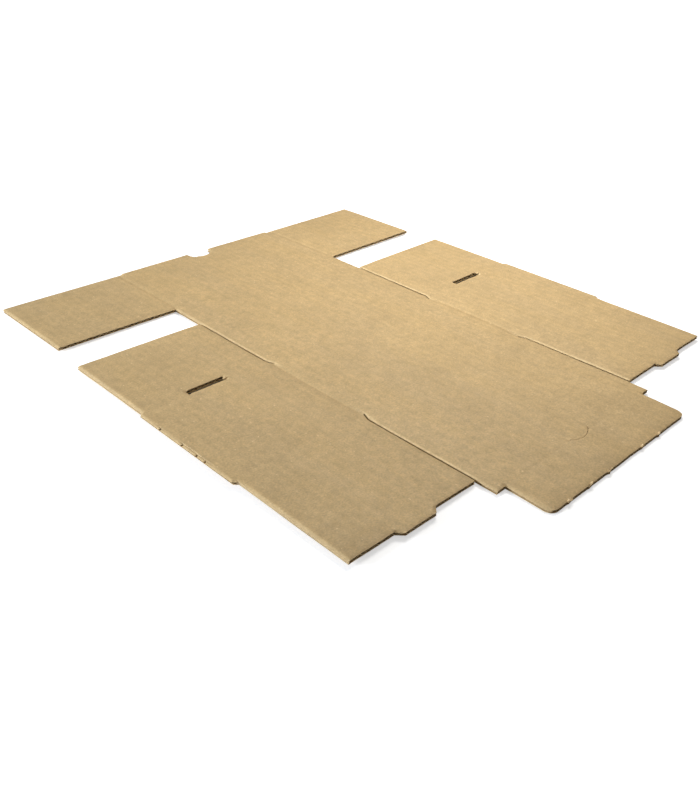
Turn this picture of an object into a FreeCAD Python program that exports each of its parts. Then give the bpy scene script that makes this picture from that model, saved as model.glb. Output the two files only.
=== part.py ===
import FreeCAD, Part
import math
import os
import Sketcher

# Flattened box: one die-cut blank of single-wall corrugated board, lying flat with its inner face up.
# +X runs across the blank, +Y towards the lid, +Z up. The origin is under the centre of the blank.
# The flutes run along Y, and the left half mirrors the right half. Sizes are in millimetres.

# Driving sizes: name, value, what it measures.
SIZES = [
    ("board_thickness", 3.0, "over both liners"),
    ("liner_thickness", 0.35, "each of the two flat papers"),
    ("medium_thickness", 0.3, "waved paper between the liners"),
    ("flute_pitch", 6.4, "from one crest of the wave to the next"),
    ("flute_slope", 48.0, "slope of the wave between its crests, in degrees"),
    ("box_width", 184.0, "between the folds of the two side walls"),
    ("base_depth", 99.5, "bottom of the box, from fold to fold"),
    ("wall_height", 115.5, "back, front and side walls"),
    ("lid_depth", 107.0, "from the lid's fold to its free edge"),
    ("flap_length", 34.5, "tuck flap beyond the front wall"),
    ("flap_width", 166.5, "tuck flap across the blank"),
    ("flap_corner", 6.5, "radius of the tuck flap's corners"),
    ("wing_width", 108.5, "lid wing, out from the side of the box"),
    ("wing_length", 94.4, "lid wing, along the side of the lid"),
    ("wing_setback", 2.2, "free edge of the wing behind that of the lid"),
    ("wing_fold_inset", 1.5, "fold of the wing inside the side of the box"),
    ("wing_relief", 6.0, "from the side of the box to the end of the lid's free edge"),
    ("back_panel_length", 89.5, "panel beside the back wall"),
    ("back_panel_step", 3.0, "its outer edge behind that of the side wall"),
    ("front_panel_step", 3.8, "the same beside the front wall"),
    ("slit_width", 1.2, "cut between the side panels and the box"),
    ("slit_overrun", 1.5, "the slit runs this far into the base"),
    ("hook_length", 7.0, "bent end of the slit, along it"),
    ("hook_inset", 2.7, "bent end of the slit, towards the middle"),
    ("lock_centre", 57.0, "lock slot and lock tab, out from the side of the box"),
    ("slot_length", 33.5, "lock slot across the blank"),
    ("slot_width", 5.5, "lock slot along the blank"),
    ("slot_corner", 1.2, "radius of the lock slot's corners"),
    ("slot_gap", 1.5, "board between the lock slot and the fold"),
    ("tab_width", 36.0, "lock tab at its root"),
    ("tab_height", 4.6, "lock tab, with its ends at 45 degrees"),
    ("notch_radius", 11.5, "thumb notch in the lid's free edge"),
    ("notch_depth", 12.5, "thumb notch"),
    ("moon_radius", 17.0, "curved thumb cut across the fold of the tuck flap"),
    ("moon_turn", 50.0, "the thumb cut on each side of the middle, in degrees"),
    ("moon_drop", 3.3, "the thumb cut's lowest point beyond the fold"),
    ("moon_cut", 0.5, "width of the thumb cut"),
    ("crease_width", 2.0, "pressed fold line"),
    ("crease_depth", 0.2, "pressed fold line, less than the liner"),
]

# Places that follow from the sizes: along Y, then along X, then across one flute.
PLACES = [
    ("far_edge", "(lid_depth + 2 * wall_height + base_depth + flap_length) / 2"),
    ("lid_fold", "far_edge - lid_depth"),
    ("back_fold", "lid_fold - wall_height"),
    ("front_fold", "back_fold - base_depth"),
    ("flap_fold", "front_fold - wall_height"),
    ("near_edge", "flap_fold - flap_length"),
    ("flap_round_start", "near_edge + flap_corner"),
    ("wing_far", "far_edge - wing_setback"),
    ("wing_near", "wing_far - wing_length"),
    ("panel_far", "back_fold + back_panel_length"),
    ("panel_near", "front_fold - base_depth"),
    ("tab_tip", "panel_near - tab_height"),
    ("back_step", "back_fold + back_panel_step"),
    ("front_step", "front_fold - front_panel_step"),
    ("back_slit_end", "back_fold - slit_overrun"),
    ("back_slit_bend", "back_slit_end + hook_length"),
    ("front_slit_end", "front_fold + slit_overrun"),
    ("front_slit_bend", "front_slit_end - hook_length"),
    ("slot_near", "back_fold + slot_gap"),
    ("slot_near_round", "slot_near + slot_corner"),
    ("slot_far", "slot_near + slot_width"),
    ("slot_far_round", "slot_far - slot_corner"),
    ("notch_middle", "far_edge - notch_depth + notch_radius"),
    ("moon_inner", "moon_radius - moon_cut"),
    ("moon_middle", "flap_fold - moon_drop + moon_radius"),
    ("moon_outer_y", "moon_middle - moon_radius * cos(moon_turn)"),
    ("moon_inner_y", "moon_middle - moon_inner * cos(moon_turn)"),
    ("side", "box_width / 2"),
    ("side_edge", "side + wall_height"),
    ("back_panel_edge", "side_edge - back_panel_step"),
    ("front_panel_edge", "side_edge - front_panel_step"),
    ("slit_edge", "side + slit_width"),
    ("hook_inner", "side - hook_inset"),
    ("hook_outer", "hook_inner + slit_width"),
    ("wing_edge", "side + wing_width"),
    ("wing_fold", "side - wing_fold_inset"),
    ("lid_corner", "side - wing_relief"),
    ("flap_edge", "flap_width / 2"),
    ("flap_round_end", "flap_edge - flap_corner"),
    ("lock_middle", "side + lock_centre"),
    ("tab_inner", "lock_middle - tab_width / 2"),
    ("tab_outer", "lock_middle + tab_width / 2"),
    ("tab_tip_inner", "tab_inner + tab_height"),
    ("tab_tip_outer", "tab_outer - tab_height"),
    ("slot_inner", "lock_middle - slot_length / 2"),
    ("slot_inner_round", "slot_inner + slot_corner"),
    ("slot_outer", "lock_middle + slot_length / 2"),
    ("slot_outer_round", "slot_outer - slot_corner"),
    ("moon_outer_x", "moon_radius * sin(moon_turn)"),
    ("moon_inner_x", "moon_inner * sin(moon_turn)"),
    ("flutes_each_way", "ceil(side_edge / flute_pitch)"),
    ("waist", "flute_pitch / 4 - medium_thickness / sin(flute_slope) / 2"),
    ("roof", "board_thickness - liner_thickness"),
    ("roof_reach", "waist + (roof - board_thickness / 2) / tan(flute_slope)"),
    ("foot", "liner_thickness + medium_thickness"),
    ("foot_reach", "waist - (board_thickness / 2 - foot) / tan(flute_slope)"),
]

# An outline is a list of corners (x, y), each a place. A third name makes the edge that starts there an
# arc of that radius, which bulges to the left of the way it runs, or to the right with a minus sign.
# This is the right half of the blank, clockwise from the lid's free edge to the tuck flap.
RIGHT_HALF = [
    ("lid_corner", "far_edge"),
    ("lid_corner", "wing_far"),
    ("wing_edge", "wing_far"),
    ("wing_edge", "wing_near"),
    ("side", "wing_near"),
    ("side", "back_slit_bend"),
    ("hook_inner", "back_slit_end"),
    ("hook_outer", "back_slit_end"),
    ("slit_edge", "back_slit_bend"),
    ("slit_edge", "panel_far"),
    ("back_panel_edge", "panel_far"),
    ("back_panel_edge", "back_step"),
    ("side_edge", "back_fold"),
    ("side_edge", "front_fold"),
    ("front_panel_edge", "front_step"),
    ("front_panel_edge", "panel_near"),
    ("tab_outer", "panel_near"),
    ("tab_tip_outer", "tab_tip"),
    ("tab_tip_inner", "tab_tip"),
    ("tab_inner", "panel_near"),
    ("slit_edge", "panel_near"),
    ("slit_edge", "front_slit_bend"),
    ("hook_outer", "front_slit_end"),
    ("hook_inner", "front_slit_end"),
    ("side", "front_slit_bend"),
    ("side", "flap_fold"),
    ("flap_edge", "flap_fold"),
    ("flap_edge", "flap_round_start", "flap_corner"),
    ("flap_round_end", "near_edge"),
]
LOCK_SLOT = [
    ("slot_inner_round", "slot_far"),
    ("slot_outer_round", "slot_far", "slot_corner"),
    ("slot_outer", "slot_far_round"),
    ("slot_outer", "slot_near_round", "slot_corner"),
    ("slot_outer_round", "slot_near"),
    ("slot_inner_round", "slot_near", "slot_corner"),
    ("slot_inner", "slot_near_round"),
    ("slot_inner", "slot_far_round", "slot_corner"),
]
THUMB_CUT = [
    ("-moon_inner_x", "moon_inner_y", "-moon_inner"),
    ("moon_inner_x", "moon_inner_y"),
    ("moon_outer_x", "moon_outer_y", "moon_radius"),
    ("-moon_outer_x", "moon_outer_y"),
]
FLUTE = [
    ("-roof_reach", "roof"),
    ("roof_reach", "roof"),
    ("foot_reach", "foot"),
    ("-foot_reach", "foot"),
]

# Folds across the blank as (y, half length), and folds on each side along it as (x, near end, far end).
CROSS_FOLDS = [
    ("lid_fold", "side"),
    ("back_fold", "side_edge"),
    ("front_fold", "side_edge"),
    ("flap_fold", "flap_edge"),
]
LONG_FOLDS = [
    ("wing_fold", "wing_near", "wing_far"),
    ("side", "front_slit_end", "back_slit_end"),
]


def make_sheet(document):
    """The sizes as numbers, then the places and the two edges of each pressed fold line as formulas."""
    formulas = list(PLACES)
    for fold, *_ in CROSS_FOLDS + LONG_FOLDS:
        formulas.append((fold + "_low", fold + " - crease_width / 2"))
        formulas.append((fold + "_high", fold + " + crease_width / 2"))
    cells = [(name, str(value), note) for name, value, note in SIZES]
    cells += [(name, "=" + formula, "") for name, formula in formulas]
    sheet = document.addObject("Spreadsheet::Sheet", "Sizes")
    for row, (name, content, note) in enumerate(cells, start=1):
        sheet.set(f"A{row}", name)
        sheet.set(f"B{row}", content)
        sheet.set(f"C{row}", note)
        sheet.setAlias(f"B{row}", name)
    document.recompute()
    return sheet


def opposite(name):
    """The name of a place with its sign changed."""
    return name[1:] if name.startswith("-") else "-" + name


def mirrored(corners):
    """The same outline on the left half, running the same way round, so that its arcs start elsewhere."""
    radii = [corner[2:] for corner in corners]
    radii = radii[-2::-1] + radii[-1:]
    return [(opposite(x), y, *radius) for (x, y, *_), radius in zip(reversed(corners), radii)]


def rectangle(left, right, near, far):
    return [(left, far), (right, far), (right, near), (left, near)]


def origin_feature(body, role):
    """The plane or axis of a body's origin that has this role."""
    return next(feature for feature in body.Origin.OriginFeatures if feature.Role == role)


class Drawing:
    """A sketch in a body, with its corners and radii tied to the sheet."""

    def __init__(self, body, name, sheet, plane="XY_Plane"):
        self.sheet = sheet
        self.sketch = body.newObject("Sketcher::SketchObject", name)
        self.sketch.AttachmentSupport = [(origin_feature(body, plane), "")]
        self.sketch.MapMode = "FlatFace"

    def value(self, name):
        number = float(getattr(self.sheet, name.lstrip("-")))
        return -number if name.startswith("-") else number

    def bind(self, name, kind, *geometry):
        """Add a dimension whose value is a name in the sheet."""
        index = self.sketch.addConstraint(Sketcher.Constraint(kind, *geometry, self.value(name)))
        sign = "-" if name.startswith("-") else ""
        self.sketch.setExpression(f"Constraints[{index}]", f"{sign}Sizes.{name.lstrip('-')}")

    def edge(self, start, end, radius=None):
        """Draw the edge from one corner to the next, and return it with its start and end points."""
        first, last = (FreeCAD.Vector(self.value(x), self.value(y), 0) for x, y in (start, end))
        if radius is None:
            return self.sketch.addGeometry(Part.LineSegment(first, last)), 1, 2
        half = (last - first) / 2
        size = self.value(radius)
        inward = FreeCAD.Vector(half.y, -half.x, 0).normalize() * math.copysign(1, size)
        centre = first + half + inward * math.sqrt(size ** 2 - half.Length ** 2)
        angles = [math.atan2(point.y - centre.y, point.x - centre.x) for point in (first, last)]
        circle = Part.Circle(centre, FreeCAD.Vector(0, 0, 1), abs(size))
        clockwise = size > 0
        low, high = reversed(angles) if clockwise else angles
        index = self.sketch.addGeometry(Part.ArcOfCircle(circle, low, high))
        self.bind(radius.lstrip("-"), "Radius", index)
        return (index, 2, 1) if clockwise else (index, 1, 2)

    def loop(self, corners):
        """Draw a closed outline with each corner held at its place."""
        places = [corner[:2] for corner in corners]
        edges = []
        for start, end, corner in zip(places, places[1:] + places[:1], corners):
            edges.append(self.edge(start, end, *corner[2:]))
        for (x, y), edge, before in zip(places, edges, edges[-1:] + edges[:-1]):
            index, start, _ = edge
            before_index, _, before_end = before
            ends = (before_index, before_end, index, start)
            self.sketch.addConstraint(Sketcher.Constraint("Coincident", *ends))
            self.bind(x, "DistanceX", -1, 1, index, start)
            self.bind(y, "DistanceY", -1, 1, index, start)

    def circle(self, y, radius):
        """Draw a circle about a point of the middle line."""
        centre = FreeCAD.Vector(0, self.value(y), 0)
        index = self.sketch.addGeometry(Part.Circle(centre, FreeCAD.Vector(0, 0, 1), self.value(radius)))
        self.sketch.addConstraint(Sketcher.Constraint("PointOnObject", index, 3, -2))
        self.bind(y, "DistanceY", -1, 1, index, 3)
        self.bind(radius, "Radius", index)


class Blank:
    """The body of the blank, cut and pressed in the order of its features."""

    def __init__(self, document, sheet):
        self.sheet = sheet
        self.body = document.addObject("PartDesign::Body", "BoxBlank")
        self.body.Label = "box_blank"

    def upper_drawing(self, name):
        """A sketch on the upper face of the board."""
        drawing = Drawing(self.body, name, self.sheet)
        drawing.sketch.setExpression("AttachmentOffset.Base.z", "Sizes.board_thickness")
        return drawing

    def cut(self, name, drawing, depth=None):
        """Cut a sketch into the board, to a depth or right through."""
        pocket = self.body.newObject("PartDesign::Pocket", name)
        pocket.Profile = drawing.sketch
        if depth:
            pocket.setExpression("Length", f"Sizes.{depth}")
        else:
            pocket.Type = "ThroughAll"
        return pocket

    def board(self):
        drawing = Drawing(self.body, "Outline", self.sheet)
        drawing.loop(RIGHT_HALF + mirrored(RIGHT_HALF))
        pad = self.body.newObject("PartDesign::Pad", "Board")
        pad.Profile = drawing.sketch
        pad.setExpression("Length", "Sizes.board_thickness")

    def lock_slots(self):
        drawing = self.upper_drawing("LockSlotOutline")
        drawing.loop(LOCK_SLOT)
        drawing.loop(mirrored(LOCK_SLOT))
        self.cut("LockSlots", drawing)

    def thumb_cuts(self):
        """The notch in the lid's free edge, and the curved cut across the tuck flap's fold."""
        drawing = self.upper_drawing("ThumbCutOutline")
        drawing.circle("notch_middle", "notch_radius")
        drawing.loop(THUMB_CUT)
        self.cut("ThumbCuts", drawing)

    def folds(self):
        """Fold lines pressed into the upper liner: first across the blank, then along it."""
        drawing = self.upper_drawing("CrossFoldOutline")
        for fold, reach in CROSS_FOLDS:
            drawing.loop(rectangle("-" + reach, reach, fold + "_low", fold + "_high"))
        self.cut("CrossFolds", drawing, "crease_depth")
        drawing = self.upper_drawing("LongFoldOutline")
        for fold, near, far in LONG_FOLDS:
            corners = rectangle(fold + "_low", fold + "_high", near, far)
            drawing.loop(corners)
            drawing.loop(mirrored(corners))
        self.cut("LongFolds", drawing, "crease_depth")

    def flute(self, name, turn, x, z):
        """Open one flute along the board, with its flat side up, or down where it is turned half round."""
        drawing = Drawing(self.body, name + "Outline", self.sheet, "XZ_Plane")
        drawing.loop(FLUTE)
        drawing.sketch.AttachmentOffset.Rotation = FreeCAD.Rotation(FreeCAD.Vector(0, 0, 1), turn)
        drawing.sketch.setExpression("AttachmentOffset.Base.x", x)
        drawing.sketch.setExpression("AttachmentOffset.Base.y", z)
        pocket = self.cut(name, drawing)
        pocket.SideType = "Symmetric"
        return pocket

    def flutes(self):
        """The open flutes on both sides of the medium, side by side across the whole board."""
        leftmost = "-Sizes.flutes_each_way * Sizes.flute_pitch"
        upper = self.flute("UpperFlute", 0, leftmost, "0")
        lower = self.flute("LowerFlute", 180, leftmost + " + Sizes.flute_pitch / 2", "Sizes.board_thickness")
        pattern = self.body.newObject("PartDesign::LinearPattern", "Flutes")
        pattern.Originals = [upper, lower]
        pattern.Direction = (origin_feature(self.body, "X_Axis"), [""])
        pattern.Mode = "Spacing"
        pattern.setExpression("Offset", "Sizes.flute_pitch")
        pattern.setExpression("Occurrences", "2 * Sizes.flutes_each_way + 1")
        self.body.Tip = pattern


def check(document):
    """Stop if any object failed, or if the blank isn't one valid solid."""
    for item in document.Objects:
        if "Invalid" in item.State or "Error" in item.State:
            raise RuntimeError(f"{item.Label}: {item.State}")
    for body in document.findObjects("PartDesign::Body"):
        if body.Shape.isNull() or not body.Shape.isValid() or len(body.Shape.Solids) != 1:
            raise RuntimeError(f"{body.Label} is not one valid solid")


def main():
    document = FreeCAD.newDocument("FlattenedBox")
    blank = Blank(document, make_sheet(document))
    blank.board()
    blank.lock_slots()
    blank.thumb_cuts()
    blank.folds()
    blank.flutes()
    document.recompute()
    check(document)
    os.makedirs("parts", exist_ok=True)
    blank.body.Shape.exportStep(f"parts/{blank.body.Label}.step")


main()
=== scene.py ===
import math
import random

import bpy
import numpy as np
from mathutils import Euler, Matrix, Quaternion, Vector, noise


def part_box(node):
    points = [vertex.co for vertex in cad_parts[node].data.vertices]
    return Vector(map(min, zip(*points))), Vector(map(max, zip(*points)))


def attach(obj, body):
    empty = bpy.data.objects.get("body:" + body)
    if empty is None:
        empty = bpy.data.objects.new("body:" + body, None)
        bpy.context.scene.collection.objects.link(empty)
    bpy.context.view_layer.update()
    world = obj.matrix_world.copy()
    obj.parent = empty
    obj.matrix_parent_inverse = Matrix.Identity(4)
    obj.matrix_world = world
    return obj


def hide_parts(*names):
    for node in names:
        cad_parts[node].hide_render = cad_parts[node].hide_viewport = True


# A flattened cardboard box: one die-cut blank of corrugated board, made of two flat liners and a waved
# medium between them. Its outline is read from the frame's solid. Lengths are in metres, angles in degrees.
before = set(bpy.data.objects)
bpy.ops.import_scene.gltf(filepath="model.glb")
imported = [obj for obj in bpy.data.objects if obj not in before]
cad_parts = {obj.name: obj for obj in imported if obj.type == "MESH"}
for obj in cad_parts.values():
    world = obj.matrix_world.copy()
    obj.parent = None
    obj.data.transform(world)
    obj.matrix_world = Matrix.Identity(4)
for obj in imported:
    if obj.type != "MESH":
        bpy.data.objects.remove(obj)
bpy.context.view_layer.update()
MM = 0.001
NODE = "box_blank"
LOW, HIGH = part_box(NODE)
TOUCHING = 0.01 * MM

# The board, as in the frame's solid.
THICKNESS = HIGH.z - LOW.z
LINER = 0.35 * MM
MEDIUM = 0.3 * MM
PITCH = 6.4 * MM
WAVE = (THICKNESS - 2 * LINER - MEDIUM) / 2

# The box's own sizes, which place its fold lines and cuts.
BOX_WIDTH = 184 * MM
BASE_DEPTH = 99.5 * MM
WALL_HEIGHT = 115.5 * MM
LID_DEPTH = 107 * MM
WING_SETBACK = 2.2 * MM
WING_LENGTH = 94.4 * MM
WING_FOLD_INSET = 1.5 * MM
SLIT_OVERRUN = 1.5 * MM
PANEL_BEHIND_FOLD = 89.5 * MM
LOCK_CENTRE = 57 * MM
SLOT_LENGTH = 33.5 * MM
SLOT_WIDTH = 5.5 * MM
SLOT_GAP = 1.5 * MM
FLAP_HALF_WIDTH = 83.25 * MM
SIDE = BOX_WIDTH / 2
SIDE_EDGE = SIDE + WALL_HEIGHT
LID_FOLD = HIGH.y - LID_DEPTH
BACK_FOLD = LID_FOLD - WALL_HEIGHT
FRONT_FOLD = BACK_FOLD - BASE_DEPTH
FLAP_FOLD = FRONT_FOLD - WALL_HEIGHT
WING_FAR = HIGH.y - WING_SETBACK
WING_NEAR = WING_FAR - WING_LENGTH
WING_FOLD = SIDE - WING_FOLD_INSET
PANEL_NEAR = FRONT_FOLD - BASE_DEPTH
PANEL_FAR = BACK_FOLD + PANEL_BEHIND_FOLD

# Pressed fold lines: how much thinner the board is there, and how far that spreads on each side.
# Those across the flutes are (y, half length, share of the thickness), and those along them
# (x, near end, far end, share of the thickness).
CROSS_FOLDS = [
    (LID_FOLD, SIDE, 0.035),
    (BACK_FOLD, SIDE_EDGE, 0.035),
    (FRONT_FOLD, SIDE_EDGE, 0.035),
    (FLAP_FOLD, FLAP_HALF_WIDTH, 0.04),
]
LONG_FOLDS = [
    (WING_FOLD, WING_NEAR, WING_FAR, 0.09),
    (SIDE, FRONT_FOLD + SLIT_OVERRUN, BACK_FOLD - SLIT_OVERRUN, 0.10),
]
CROSS_FOLD_SPREAD = 1.1 * MM
LONG_FOLD_SPREAD = 2.0 * MM
FOLD_FADE = 2.5 * MM
FOLD_SECTION = (-2, -1, -0.5, 0, 0.5, 1, 2)

# Cut edges: the knife crushes the board, as a share of its thickness, most where it runs along the
# flutes, and leaves a frayed line. The thumb cut is a light one.
CRUSH_ALONG_FLUTES = 0.34
CRUSH_ACROSS_FLUTES = 0.10
CRUSH_SLIT = 0.25
CRUSH_SPREAD = 1.1 * MM
CRUSH_REACH = 4 * CRUSH_SPREAD
CRUSH_SECTION = (-1.6, -0.9, -0.4, 0.4, 0.9, 1.6)
THUMB_CUT_REACH = 16 * MM
THUMB_CUT_SHARE = 0.3
LONG_CUT = 15 * MM
FRAY = 0.13 * MM
FRAY_GRAIN = 0.9 * MM
KNIFE_DRIFT = 0.22 * MM
KNIFE_DRIFT_LENGTH = 17 * MM

# Torn liner: beside the slits between the side panels and the box, and at the right ends of the lock slots.
SLIT_TEAR_REACH = 4 * MM
SLOT_TEAR_REACH = 3.5 * MM
SLOT_TEAR_MARGIN = 0.3 * MM
SLOT_ENDS = [-(SIDE + LOCK_CENTRE - SLOT_LENGTH / 2), SIDE + LOCK_CENTRE + SLOT_LENGTH / 2]
SLOT_NEAR = BACK_FOLD + SLOT_GAP
SLOT_FAR = SLOT_NEAR + SLOT_WIDTH

# Nicks in the left side wall's edge, and torn bridges along the tuck flap's edge, by their middles.
NICKS = [y * MM for y in (-9, -34, -50, -59)]
NICK_DEPTH = 2.2 * MM
NICK_HALF_WIDTH = 1.2 * MM
NICK_HALF_FLOOR = NICK_HALF_WIDTH / 4
BRIDGES = [x * MM for x in (-65.5, -42, -19.5, 22, 44)]
BRIDGE_REACH = 1.1 * MM
BRIDGE_HALF_WIDTH = 1.6 * MM
BRIDGE_TEAR_SHARE = 0.6
BRIDGE_EDGE = LOW.y + 0.1 * MM

# The thumb cut is an arc whose two sides nearly touch: it is left open by this share of its width.
THUMB_ARC_RADIUS = 16.75 * MM
THUMB_ARC_MIDDLE = Vector((0, FLAP_FOLD + 13.7 * MM))
THUMB_ARC_REACH = 0.3 * MM
THUMB_CUT_OPEN = 0.6

# Curled scraps of liner where it tore: (x, y, how many, their size, their height in the board).
CRUSHED_TOP = THICKNESS * (1 - CRUSH_ACROSS_FLUTES)
FLUFF_TOP = THICKNESS + 0.3 * MM
TEARS = [(x, BRIDGE_EDGE, 7, 1.5 * MM, CRUSHED_TOP) for x in BRIDGES]
TEARS += [(end + 0.9 * MM, (SLOT_NEAR + SLOT_FAR) / 2, 8, 1.7 * MM, CRUSHED_TOP) for end in SLOT_ENDS]
TEARS += [
    (-11.2 * MM, FLAP_FOLD + 1.1 * MM, 1, 1.0 * MM, FLUFF_TOP),
    (12.4 * MM, FLAP_FOLD + 2.3 * MM, 1, 0.8 * MM, FLUFF_TOP),
    (10.8 * MM, FLAP_FOLD + 0.8 * MM, 1, 1.0 * MM, FLUFF_TOP),
    (8.6 * MM, FLAP_FOLD - 0.6 * MM, 1, 0.8 * MM, FLUFF_TOP),
]
FLAKE_CORNERS = 9
FLAKE_HALF_THICKNESS = 0.08 * MM
FLAKE_CURL = 0.4
FLAKE_SCATTER = (1.1, 0.3)
FLAKE_DROP = 0.5 * MM
FLAKE_TURNS = [(-0.3, 0.5), (-0.5, 0.1), (-0.7, 0.7)]
FLAKE_RAGGEDNESS = (0.35, 1.25)

# Slow unevenness: the blank bows along its length, its side panels lift outside their folds, and the
# liners sink a little between the crests of the medium.
BOW = 1.9 * MM
FAR_BOW_POWER = 2
NEAR_BOW_POWER = 6
PANEL_LIFT = 0.5 * MM
HINGE_DIP = 1.2 * MM
HINGE_REACH = 16 * MM
RIPPLE = 0.2 * MM
RIPPLE_LENGTH = 120 * MM
WASHBOARD = 0.05 * MM

# How finely the meshes are split: a regular line too close to one that the shape needs is left out.
# From the angle on, in degrees, an edge between two faces is a sharp one.
COLUMN_STEPS = {"lower_liner": PITCH / 4, "medium": PITCH / 12, "upper_liner": PITCH / 6}
ROW_STEPS = {"lower_liner": 24 * MM, "medium": 40 * MM, "upper_liner": 14 * MM}
LEAST_GAP_DIVISOR = 5
SHARP_ANGLE = 50

# Paper colours.
KRAFT = (0.585, 0.410, 0.197)
KRAFT_WARM = (0.60, 0.415, 0.190)
CUT_BROWN = (0.69, 0.50, 0.27)
PALE_FIBRE = (0.84, 0.63, 0.33)
DARK_FIBRE = (0.30, 0.19, 0.09)
MEDIUM_BROWN = (0.43, 0.30, 0.16)

# The floor glows from its near level to white as it goes away from the blank, where the camera sees it.
# Seen through the slots (|x|, y) and the thumb cut it doesn't glow.
FLOOR_HALF = 8.0
FLOOR_DROP = 0.05 * MM
FLOOR_WHITE = (0.9, 0.9, 0.9)
FLOOR_GLOW = 0.55
FLOOR_FADE = (0.35, 1.1)
SEEN_THROUGH = [(0.149, 0.018), (0.0, -0.2)]
UNLIT_REACH = (0.020, 0.035)

# Light: a low lamp on the left, a small one above the right side, and surroundings brightest back left.
SIDE_LAMP = {
    "place": (-1.2, 0.52, 0.32),
    "aim": (0, 0, 0),
    "size": 0.35,
    "power": 16,
    "tint": (0.91, 1.0, 1.14),
}
TOP_LAMP = {
    "place": (0.203, 0.057, 0.485),
    "aim": (0.203, 0.057, 0),
    "size": 0.25,
    "power": 2.37,
    "tint": (1.02, 1.0, 0.96),
}
BRIGHT_SIDE = (-0.45, 0.65, 0.61)
BRIGHT_SIDE_LEVEL = 0.24
DARK_SIDE_LEVEL = 0.03

# The camera that took the photograph, as places in the frame.
CAMERA_PLACE = Vector((-453.8, -428.9, 320.8)) * MM
CAMERA_AIM = Vector((-83.6, -64.1, 3.0)) * MM
CAMERA_ROLL = 1.97
CAMERA_LENS = 38.34
SENSOR_WIDTH = 36

# Fixed facts of Blender's nodes and noise: the wave texture's bands per metre at scale 1 over a full turn, a
# colour mix's sockets, and how far apart the noise of two seeds lies.
WAVE_TEXTURE_TURNS = 20 / (2 * math.pi)
MIX_COLOURS = (6, 7)
MIX_RESULT = 2
SEED_STEP = 7.3


def outline_loops(node):
    """The outlines of the solid's underside as closed lists of points (x, y), without points in line."""
    mesh = node.data
    flat = [(round(v.co.x, 6), round(v.co.y, 6)) for v in mesh.vertices]
    touching = [v.co.z - LOW.z < TOUCHING for v in mesh.vertices]
    edges = set()
    for face in mesh.polygons:
        if all(touching[v] for v in face.vertices):
            ring = [flat[v] for v in face.vertices]
            edges.update(zip(ring, ring[1:] + ring[:1]))
    following = {start: end for start, end in edges if (end, start) not in edges}
    loops = []
    while following:
        first, point = next(iter(following.items()))
        loop = [first]
        while point != first:
            loop.append(point)
            point = following.pop(point)
        following.pop(first)
        loops.append(without_points_in_line(loop))
    return loops


def without_points_in_line(loop):
    kept = []
    for before, point, after in zip(loop[-1:] + loop[:-1], loop, loop[1:] + loop[:1]):
        coming = Vector(point) - Vector(before)
        going = Vector(after) - Vector(point)
        if abs(coming.cross(going)) > 1e-4 * coming.length * going.length:
            kept.append(point)
    return kept


def nicked(loop):
    """The loop with the small notches in the left side wall's edge."""
    result = []
    for start, end in zip(loop, loop[1:] + loop[:1]):
        result.append(start)
        x = start[0]
        if x == end[0] and abs(x + SIDE_EDGE) < TOUCHING:
            way = math.copysign(1, end[1] - start[1])
            for y in sorted(NICKS, key=lambda place: way * place):
                result.append((x, y - way * NICK_HALF_WIDTH))
                result.append((x + NICK_DEPTH, y - way * NICK_HALF_FLOOR))
                result.append((x + NICK_DEPTH, y + way * NICK_HALF_FLOOR))
                result.append((x, y + way * NICK_HALF_WIDTH))
    return result


def lines(low, high, step, special):
    """Values from low to high by the step, and the special ones in place of those too close to them."""
    special = sorted(set(special))
    regular = np.arange(math.ceil(low / step), math.floor(high / step) + 1) * step
    clear = [float(v) for v in regular if min(abs(v - s) for s in special) > step / LEAST_GAP_DIVISOR]
    return sorted(clear + special)


def cells(loops, columns, rows):
    """Split the shape inside the loops along columns and rows, into points (x, y) and faces."""
    edges = [pair for loop in loops for pair in zip(loop, loop[1:] + loop[:1])]
    corners = {}
    for x, y in (point for loop in loops for point in loop):
        corners.setdefault(x, set()).add(y)
    numbers = {}
    faces = []

    def number(x, y):
        return numbers.setdefault((round(x, 7), round(y, 7)), len(numbers))

    def stops(x, low, high):
        inner = {y for y in corners.get(x, ()) if low < y < high}
        inner.update(y for y in rows if low < y < high)
        return [low] + sorted(inner) + [high]

    for left, right in zip(columns, columns[1:]):
        crossings = []
        for (x1, y1), (x2, y2) in edges:
            if min(x1, x2) < (left + right) / 2 < max(x1, x2):
                slope = (y2 - y1) / (x2 - x1)
                crossings.append((y1 + slope * (left - x1), y1 + slope * (right - x1)))
        crossings.sort(key=sum)
        for low, high in zip(crossings[::2], crossings[1::2]):
            left_stops = stops(left, low[0], high[0])
            right_stops = stops(right, low[1], high[1])
            shared = [y for y in rows if max(low) < y < min(high)]
            for start, end in zip([-math.inf] + shared, shared + [math.inf]):
                up = [number(right, y) for y in right_stops if start <= y <= end]
                down = [number(left, y) for y in reversed(left_stops) if start <= y <= end]
                ring = list(dict.fromkeys(up + down))
                if len(ring) > 2:
                    faces.append(ring)
    return np.array(list(numbers)), faces


def rim(faces):
    """The directed edges that bound the faces, with the board on their left."""
    edges = {pair for ring in faces for pair in zip(ring, ring[1:] + ring[:1])}
    return [(start, end) for start, end in edges if (end, start) not in edges]


def wander(x, y, length, seed):
    """Smooth noise about 0 that changes over the given length."""
    return noise.noise(Vector((x / length, y / length, SEED_STEP * seed)))


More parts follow.
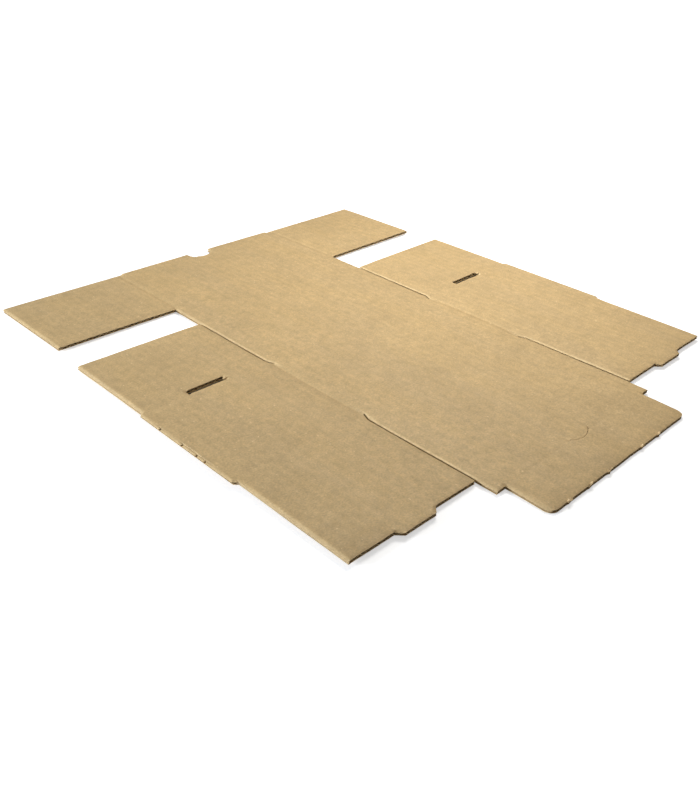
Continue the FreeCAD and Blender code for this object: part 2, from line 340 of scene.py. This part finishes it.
def frayed(points, edges, seed):
    """The points with those on the rim moved out or in, as a knife leaves them."""
    outward = np.zeros_like(points)
    for start, end in edges:
        along = points[end] - points[start]
        side = np.array((along[1], -along[0])) / np.linalg.norm(along)
        outward[start] += side
        outward[end] += side
    result = points.copy()
    for index in {index for edge in edges for index in edge}:
        x, y = points[index]
        shift = FRAY * wander(x, y, FRAY_GRAIN, seed) + KNIFE_DRIFT * wander(x, y, KNIFE_DRIFT_LENGTH, 0)
        if y < BRIDGE_EDGE:
            nearest = min(abs(x - bridge) for bridge in BRIDGES)
            bridged = max(0, 1 - (nearest / BRIDGE_HALF_WIDTH) ** 2)
            shift += BRIDGE_REACH * bridged * (BRIDGE_TEAR_SHARE + wander(x, y, FRAY_GRAIN / 2, seed + 5))
        from_middle = Vector((x, y)) - THUMB_ARC_MIDDLE
        beyond = from_middle.length - THUMB_ARC_RADIUS
        if abs(beyond) < THUMB_ARC_REACH:
            result[index] -= np.array(from_middle.normalized()) * beyond * (1 - THUMB_CUT_OPEN)
        else:
            result[index] += outward[index] / np.linalg.norm(outward[index]) * shift
    return result


def distance_from(edges, points):
    """How far each point is from the nearest of the edges, up to the knife's reach."""
    starts = points[[edge[0] for edge in edges]]
    ends = points[[edge[1] for edge in edges]]
    nearest = np.full(len(points), CRUSH_REACH)
    for start, end in zip(starts, ends):
        low = np.minimum(start, end) - CRUSH_REACH
        high = np.maximum(start, end) + CRUSH_REACH
        close = np.nonzero(((points > low) & (points < high)).all(axis=1))[0]
        along = end - start
        share = ((points[close] - start) @ along / (along @ along)).clip(0, 1)
        gap = np.linalg.norm(points[close] - start - share[:, None] * along, axis=1)
        nearest[close] = np.minimum(nearest[close], gap)
    return nearest


def bump_profile(distance, spread):
    return np.exp(-((distance / spread) ** 2))


def torn(x, y):
    """True next to the slits between the side panels and the box, and at the right end of each lock slot."""
    lengthwise = (y < FRONT_FOLD + 2 * SLIT_OVERRUN) | (y > BACK_FOLD - 2 * SLIT_OVERRUN)
    lengthwise &= (y > PANEL_NEAR) & (y < PANEL_FAR)
    slit = lengthwise & (np.abs(np.abs(x) - SIDE) < SLIT_TEAR_REACH)
    left, right = ((x > end - SLOT_TEAR_MARGIN) & (x < end + SLOT_TEAR_REACH) for end in SLOT_ENDS)
    return slit | ((left | right) & (y > SLOT_NEAR - SLOT_TEAR_MARGIN) & (y < SLOT_FAR + SLOT_TEAR_MARGIN))


def knifed(points, edges):
    """How far the knife crushes the board, as a share of its thickness, and how much it tears the liner."""
    steep = [edge for edge in edges if abs(np.subtract(*points[list(edge)])) @ (-1, 1) > 0]
    across = bump_profile(distance_from(edges, points), CRUSH_SPREAD)
    along = bump_profile(distance_from(steep, points), CRUSH_SPREAD)
    x, y = points.T
    tears = torn(x, y)
    depth = np.where(tears, CRUSH_SLIT, CRUSH_ALONG_FLUTES)
    crush = np.maximum(CRUSH_ACROSS_FLUTES * across, depth * along)
    crush[np.hypot(x, y - FLAP_FOLD) < THUMB_CUT_REACH] *= THUMB_CUT_SHARE
    return crush, np.where(tears, along, crush)


def folded(x, y):
    """The share of its thickness that the board loses to the pressed fold lines."""
    loss = np.zeros_like(x)
    for fold, reach, depth in CROSS_FOLDS:
        fade = np.clip((reach - np.abs(x)) / FOLD_FADE + 1, 0, 1)
        loss = np.maximum(loss, depth * fade * bump_profile(y - fold, CROSS_FOLD_SPREAD))
    for fold, near, far, depth in LONG_FOLDS:
        fade = np.clip(np.minimum(y - near, far - y) / FOLD_FADE + 1, 0, 1)
        loss = np.maximum(loss, depth * fade * bump_profile(np.abs(x) - fold, LONG_FOLD_SPREAD))
    return loss


def warp(x, y):
    """How far the blank stands off the floor, given arrays of places."""
    bow = BOW * np.where(y > 0, 1 - (y / HIGH.y) ** FAR_BOW_POWER, 1 - (y / LOW.y) ** NEAR_BOW_POWER)
    lift = PANEL_LIFT * np.clip((np.abs(x) - SIDE) / WALL_HEIGHT, 0, 1)
    beside = np.clip(np.minimum(y - PANEL_NEAR, PANEL_FAR - y) / WALL_HEIGHT + 0.5, 0, 1)
    dip = HINGE_DIP * beside * np.exp(-np.abs(np.abs(x) - SIDE) / HINGE_REACH)
    ripple = np.array([wander(u, v, RIPPLE_LENGTH, 2) for u, v in zip(x, y)])
    return bow + lift - dip + RIPPLE * (ripple + 1)


def crest(x):
    """1 where the medium touches the upper liner, 0 where it touches the lower one."""
    return (1 - np.cos(2 * math.pi * x / PITCH)) / 2


def wave_half_thickness(x):
    """Half the medium's thickness measured upwards, which grows with the wave's slope."""
    slope = WAVE * 2 * math.pi / PITCH * np.sin(2 * math.pi * x / PITCH)
    return MEDIUM / 2 * np.sqrt(1 + slope ** 2)


def wave_middle(x):
    return THICKNESS / 2 + WAVE * (2 * crest(x) - 1)


# Each paper's underside and upper side above the blank's underside, where it is neither pressed nor bowed.
PAPERS = {
    "lower_liner": (
        lambda x: WASHBOARD / 2 * crest(x),
        lambda x: LINER + 0 * x,
    ),
    "medium": (
        lambda x: wave_middle(x) - wave_half_thickness(x),
        lambda x: wave_middle(x) + wave_half_thickness(x),
    ),
    "upper_liner": (
        lambda x: THICKNESS - LINER - WASHBOARD * (1 - crest(x)),
        lambda x: THICKNESS - WASHBOARD * (1 - crest(x)),
    ),
}


def beside(places, shares, spread):
    """Lines close together on both sides of each place, which give a fold or crushed edge a round section."""
    return {place + share * spread for place in places for share in shares}


def long_cuts(loops, axis):
    """Where along the axis the long cuts straight across it lie."""
    pairs = [pair for loop in loops for pair in zip(loop, loop[1:] + loop[:1])]
    return {
        start[axis]
        for start, end in pairs
        if start[axis] == end[axis] and abs(start[1 - axis] - end[1 - axis]) > LONG_CUT
    }


def columns_and_rows(name, loops):
    """The x of the columns and the y of the rows that a paper is split along."""
    corner_ys = {y for loop in loops for x, y in loop}
    special_xs = {x for loop in loops for x, y in loop}
    special_ys = beside([fold for fold, *_ in CROSS_FOLDS], FOLD_SECTION, CROSS_FOLD_SPREAD)
    if name == "upper_liner":
        long_folds = [way * fold for fold, *_ in LONG_FOLDS for way in (1, -1)]
        special_xs |= beside(long_folds, FOLD_SECTION, LONG_FOLD_SPREAD)
        special_xs |= beside(long_cuts(loops, 0), CRUSH_SECTION, CRUSH_SPREAD)
        special_ys |= beside(long_cuts(loops, 1), CRUSH_SECTION, CRUSH_SPREAD)
    special_xs = [x for x in special_xs if LOW.x <= x <= HIGH.x]
    columns = lines(LOW.x, HIGH.x, COLUMN_STEPS[name], special_xs)
    rows = lines(LOW.y, HIGH.y, ROW_STEPS[name], special_ys)
    return columns, [y for y in rows if y not in corner_ys]


def paper(name, loops, surface, edge, seed):
    """One paper of the board, with its flat sides in one material and its cut edges in another."""
    points, faces = cells(loops, *columns_and_rows(name, loops))
    edges = rim(faces)
    x, y = points.T
    crush, wear = knifed(points, edges)
    loss = np.maximum(folded(x, y), crush)
    standing = warp(x, y)
    points = frayed(points, edges, seed)
    under, over = (side(x) * (1 - loss) + standing for side in PAPERS[name])
    build(name, points, under, over, faces, edges, wear, surface, edge)


def build(name, points, under, over, faces, edges, wear, surface, edge):
    """A closed mesh from the two sides of a paper, with walls along its rim."""
    count = len(points)
    vertices = np.vstack([np.column_stack([points, over]), np.column_stack([points, under])])
    rings = list(faces)
    rings += [[index + count for index in reversed(ring)] for ring in faces]
    walls = [[start + count, end + count, end, start] for start, end in edges]
    mesh = bpy.data.meshes.new(name)
    mesh.from_pydata(vertices.tolist(), [], rings + walls)
    mesh.materials.append(surface)
    mesh.materials.append(edge)
    mesh.polygons.foreach_set("material_index", [0] * len(rings) + [1] * len(walls))
    mesh.polygons.foreach_set("use_smooth", [True] * (len(rings) + len(walls)))
    mesh.update()
    mesh.set_sharp_from_angle(angle=math.radians(SHARP_ANGLE))
    layer = mesh.attributes.new("wear", "FLOAT", "POINT")
    layer.data.foreach_set("value", np.tile(wear, 2).astype(np.float32))
    piece = bpy.data.objects.new(name, mesh)
    bpy.context.scene.collection.objects.link(piece)
    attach(piece, "root")
    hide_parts(NODE)


def flake(x, y, size, top, chance):
    """The corners of one scrap's upper side and then of its underside: long, ragged, curled and turned."""
    across, along = FLAKE_SCATTER
    middle = Vector((x + chance.uniform(-across, across) * size, y + chance.uniform(-along, along) * size, 0))
    middle.z = top - chance.uniform(0, FLAKE_DROP)
    middle.z += float(warp(np.array([middle.x]), np.array([middle.y]))[0])
    turn = Euler([chance.uniform(*turns) for turns in FLAKE_TURNS]).to_matrix()
    corners = []
    for height in (FLAKE_HALF_THICKNESS, -FLAKE_HALF_THICKNESS):
        for corner in range(FLAKE_CORNERS):
            angle = 2 * math.pi * corner / FLAKE_CORNERS
            reach = size * chance.uniform(*FLAKE_RAGGEDNESS)
            flat = Vector((reach * math.cos(angle), reach / 2 * math.sin(angle), height))
            flat.z += FLAKE_CURL * flat.x ** 2 / size
            corners.append(middle + turn @ flat)
    return corners


def torn_flakes(material):
    """Curled scraps of liner where the bridges to the next blank and the slots' waste tore off."""
    chance = random.Random(4)
    vertices = []
    faces = []
    for x, y, count, size, top in TEARS:
        for _ in range(count):
            above = list(range(len(vertices), len(vertices) + FLAKE_CORNERS))
            below = [index + FLAKE_CORNERS for index in above]
            vertices += flake(x, y, size, top, chance)
            faces += [above, below[::-1]]
            for index, after in zip(above, above[1:] + above[:1]):
                faces.append([index + FLAKE_CORNERS, after + FLAKE_CORNERS, after, index])
    mesh = bpy.data.meshes.new("torn_flakes")
    mesh.from_pydata(vertices, [], faces)
    mesh.materials.append(material)
    piece = bpy.data.objects.new("torn_flakes", mesh)
    bpy.context.scene.collection.objects.link(piece)
    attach(piece, "root")


class Shader:
    """A Principled material whose nodes are added one by one."""

    def __init__(self, name, roughness):
        self.material = bpy.data.materials.new(name)
        self.material.use_nodes = True
        self.tree = self.material.node_tree
        self.surface = self.tree.nodes["Principled BSDF"]
        self.surface.inputs["Roughness"].default_value = roughness
        self.place = self.add("ShaderNodeTexCoord").outputs["Object"]

    def add(self, kind, **settings):
        node = self.tree.nodes.new(kind)
        for name, value in settings.items():
            setattr(node, name, value)
        return node

    def link(self, source, target):
        self.tree.links.new(source, target)

    def stretched(self, x, y, z):
        """The place, with each axis multiplied."""
        node = self.add("ShaderNodeMapping")
        node.inputs["Scale"].default_value = (x, y, z)
        self.link(self.place, node.inputs["Vector"])
        return node.outputs["Vector"]

    def grain(self, size, detail, place=None):
        """Noise from 0 to 1 whose blotches have about the given size."""
        node = self.add("ShaderNodeTexNoise")
        node.inputs["Scale"].default_value = 1 / size
        node.inputs["Detail"].default_value = detail
        node.inputs["Roughness"].default_value = 0.6
        self.link(place or self.place, node.inputs["Vector"])
        return node.outputs["Fac"]

    def stripes(self, pitch):
        """A slightly unsteady sine wave across X, from 0 to 1 over each pitch."""
        node = self.add("ShaderNodeTexWave", wave_type="BANDS", bands_direction="X")
        node.inputs["Scale"].default_value = 1 / pitch / WAVE_TEXTURE_TURNS
        node.inputs["Distortion"].default_value = 0.4
        node.inputs["Detail"].default_value = 1.0
        node.inputs["Detail Scale"].default_value = 0.2
        self.link(self.place, node.inputs["Vector"])
        return node.outputs["Fac"]

    def spread(self, value, low, high, start=0.0, end=1.0):
        """The value mapped from start..end to low..high, and held there outside."""
        node = self.add("ShaderNodeMapRange")
        for socket, number in zip(("From Min", "From Max", "To Min", "To Max"), (start, end, low, high)):
            node.inputs[socket].default_value = number
        self.link(value, node.inputs["Value"])
        return node.outputs["Result"]

    def blotches(self, size, detail, low, high, reach=0.2):
        """Noise as a factor from low to high, which it gets to at the given reach from its mean."""
        return self.spread(self.grain(size, detail), low, high, 0.5 - reach, 0.5 + reach)

    def join(self, operation, *values):
        """The result of a maths operation on numbers and sockets."""
        node = self.add("ShaderNodeMath", operation=operation)
        for socket, value in zip(node.inputs, values):
            if isinstance(value, float):
                socket.default_value = value
            else:
                self.link(value, socket)
        return node.outputs["Value"]

    def multiplied(self, first, *others):
        for other in others:
            first = self.join("MULTIPLY", first, other)
        return first

    def mixed(self, share, first, second):
        """A colour between two others, each a colour or a socket."""
        node = self.add("ShaderNodeMix", data_type="RGBA")
        for index, value in zip(MIX_COLOURS, (first, second)):
            if isinstance(value, tuple):
                node.inputs[index].default_value = (*value, 1)
            else:
                self.link(value, node.inputs[index])
        self.link(share, node.inputs[0])
        return node.outputs[MIX_RESULT]

    def scaled(self, colour, factor):
        """A colour multiplied by a grey value."""
        node = self.add("ShaderNodeVectorMath", operation="SCALE")
        self.link(colour, node.inputs[0])
        self.link(factor, node.inputs["Scale"])
        return node.outputs["Vector"]

    def attribute(self, name):
        return self.add("ShaderNodeAttribute", attribute_name=name).outputs["Fac"]

    def finish(self, colour, height, depth, roughness=None):
        """Give the surface its colour and its fine relief of the given depth."""
        self.link(colour, self.surface.inputs["Base Color"])
        bump = self.add("ShaderNodeBump")
        bump.inputs["Distance"].default_value = depth
        self.link(height, bump.inputs["Height"])
        self.link(bump.outputs["Normal"], self.surface.inputs["Normal"])
        if roughness:
            self.link(roughness, self.surface.inputs["Roughness"])
        return self.material


def kraft_liner():
    """Brown paper: cloudy and grainy, with pale and dark fibres and faint flute lines, worn where it tore."""
    shader = Shader("kraft_liner", roughness=0.7)
    clouds = shader.blotches(60 * MM, detail=3, low=0.95, high=1.05)
    mottle = shader.blotches(7 * MM, detail=3, low=0.91, high=1.09)
    tooth = shader.blotches(1.3 * MM, detail=3, low=0.81, high=1.19, reach=0.25)
    flutes = shader.spread(shader.stripes(PITCH), low=0.975, high=1.02)
    patches = shader.grain(30 * MM, 2, shader.stretched(1, 0.25, 1))
    base = shader.mixed(shader.spread(patches, 0.0, 1.0, start=0.35, end=0.65), KRAFT, KRAFT_WARM)
    colour = shader.scaled(base, shader.multiplied(clouds, mottle, tooth, flutes))
    pale = shader.grain(1.6 * MM, 1, shader.stretched(1, 0.5, 1))
    colour = shader.mixed(shader.spread(pale, 0.0, 0.8, start=0.72, end=0.78), colour, PALE_FIBRE)
    dark = shader.grain(2.1 * MM, 1, shader.stretched(0.6, 1, 1))
    colour = shader.mixed(shader.spread(dark, 0.0, 0.35, start=0.75, end=0.82), colour, DARK_FIBRE)
    worn = shader.spread(shader.attribute("wear"), 0.0, 0.9, start=0.06, end=0.7)
    patchy = shader.blotches(2.5 * MM, detail=2, low=0.2, high=1.0, reach=0.15)
    colour = shader.mixed(shader.multiplied(worn, patchy), colour, PALE_FIBRE)
    roughness = shader.blotches(4 * MM, detail=2, low=0.62, high=0.78)
    return shader.finish(colour, shader.grain(0.9 * MM, 4), 0.05 * MM, roughness)


def flute_paper():
    """The medium: a greyer and rougher paper."""
    shader = Shader("flute_paper", roughness=0.85)
    level = shader.blotches(2 * MM, detail=4, low=0.8, high=1.2, reach=0.25)
    base = shader.mixed(shader.grain(15 * MM, 2), MEDIUM_BROWN, KRAFT)
    return shader.finish(shader.scaled(base, level), shader.grain(0.8 * MM, 4), 0.08 * MM)


def cut_paper():
    """Paper's cut edge: pale torn fibres in fine layers."""
    shader = Shader("cut_paper", roughness=0.9)
    layers = shader.grain(1 * MM, 3, shader.stretched(0.4, 0.4, 5))
    base = shader.mixed(shader.spread(layers, 0.0, 1.0, start=0.3, end=0.7), CUT_BROWN, PALE_FIBRE)
    level = shader.blotches(0.7 * MM, detail=3, low=0.8, high=1.15)
    return shader.finish(shader.scaled(base, level), layers, 0.1 * MM)


def floor():
    """A pale floor that shows the blank's shadow and otherwise fades to white."""
    mesh = bpy.data.meshes.new("floor")
    corners = [(x * FLOOR_HALF, y * FLOOR_HALF, 0) for x, y in ((-1, -1), (1, -1), (1, 1), (-1, 1))]
    mesh.from_pydata(corners, [], [(0, 1, 2, 3)])
    shader = Shader("floor", roughness=0.9)
    shader.surface.inputs["Base Color"].default_value = (*FLOOR_WHITE, 1)
    shader.surface.inputs["Specular IOR Level"].default_value = 0.1
    seen = shader.add("ShaderNodeLightPath").outputs["Is Camera Ray"]
    axes = shader.add("ShaderNodeSeparateXYZ")
    shader.link(shader.place, axes.inputs["Vector"])
    out = shader.join("ABSOLUTE", axes.outputs["X"])
    for x, y in SEEN_THROUGH:
        gaps = [shader.join("SUBTRACT", out, x), shader.join("SUBTRACT", axes.outputs["Y"], y)]
        beyond = [shader.spread(shader.join("ABSOLUTE", gap), 0.0, 1.0, *UNLIT_REACH) for gap in gaps]
        seen = shader.multiplied(seen, shader.join("MAXIMUM", *beyond))
    distance = shader.add("ShaderNodeVectorMath", operation="LENGTH")
    shader.link(shader.place, distance.inputs[0])
    glow = shader.spread(distance.outputs["Value"], FLOOR_GLOW, 1.0, *FLOOR_FADE)
    shader.surface.inputs["Emission Color"].default_value = (1, 1, 1, 1)
    shader.link(shader.multiplied(seen, glow), shader.surface.inputs["Emission Strength"])
    mesh.materials.append(shader.material)
    piece = bpy.data.objects.new("floor", mesh)
    bpy.context.scene.collection.objects.link(piece)
    piece.location.z = -FLOOR_DROP


def area_light(name, place, aim, size, power, tint):
    """A square soft light that faces a point."""
    data = bpy.data.lights.new(name, "AREA")
    data.size = size
    data.energy = power
    data.color = tint
    lamp = bpy.data.objects.new(name, data)
    lamp.location = place
    lamp.rotation_euler = (Vector(aim) - Vector(place)).to_track_quat("-Z", "Y").to_euler()
    bpy.context.scene.collection.objects.link(lamp)


def surroundings():
    """Pale surroundings that are darker towards the front, and plain white where the camera sees them."""
    world = bpy.data.worlds.new("studio")
    world.use_nodes = True
    nodes = world.node_tree.nodes
    links = world.node_tree.links
    towards = nodes.new("ShaderNodeVectorMath")
    towards.operation = "DOT_PRODUCT"
    towards.inputs[1].default_value = BRIGHT_SIDE
    links.new(nodes.new("ShaderNodeTexCoord").outputs["Generated"], towards.inputs[0])
    level = nodes.new("ShaderNodeMapRange")
    level.inputs["From Min"].default_value = -1
    level.inputs["To Min"].default_value = DARK_SIDE_LEVEL
    level.inputs["To Max"].default_value = BRIGHT_SIDE_LEVEL
    links.new(towards.outputs["Value"], level.inputs["Value"])
    strength = nodes.new("ShaderNodeMix")
    strength.inputs["B"].default_value = 1
    links.new(nodes.new("ShaderNodeLightPath").outputs["Is Camera Ray"], strength.inputs["Factor"])
    links.new(level.outputs["Result"], strength.inputs["A"])
    nodes["Background"].inputs["Color"].default_value = (1, 1, 1, 1)
    links.new(strength.outputs["Result"], nodes["Background"].inputs["Strength"])
    return world


def studio():
    bpy.context.scene.world = surroundings()
    area_light("side", **SIDE_LAMP)
    area_light("top", **TOP_LAMP)
    bpy.context.scene.view_settings.view_transform = "Standard"


def camera():
    data = bpy.data.cameras.new("camera")
    data.lens = CAMERA_LENS
    data.sensor_width = SENSOR_WIDTH
    eye = bpy.data.objects.new("camera", data)
    aim = (CAMERA_AIM - CAMERA_PLACE).to_track_quat("-Z", "Y")
    roll = Quaternion((0, 0, 1), math.radians(CAMERA_ROLL))
    eye.rotation_mode = "QUATERNION"
    eye.rotation_quaternion = aim @ roll
    eye.location = CAMERA_PLACE
    bpy.context.scene.collection.objects.link(eye)
    bpy.context.scene.camera = eye


def blank():
    loops = [nicked(loop) for loop in outline_loops(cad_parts[NODE])]
    surface = kraft_liner()
    edge = cut_paper()
    paper("lower_liner", loops, surface, edge, seed=1)
    paper("medium", loops, flute_paper(), edge, seed=2)
    paper("upper_liner", loops, surface, edge, seed=3)
    torn_flakes(edge)


blank()
floor()
studio()
camera()
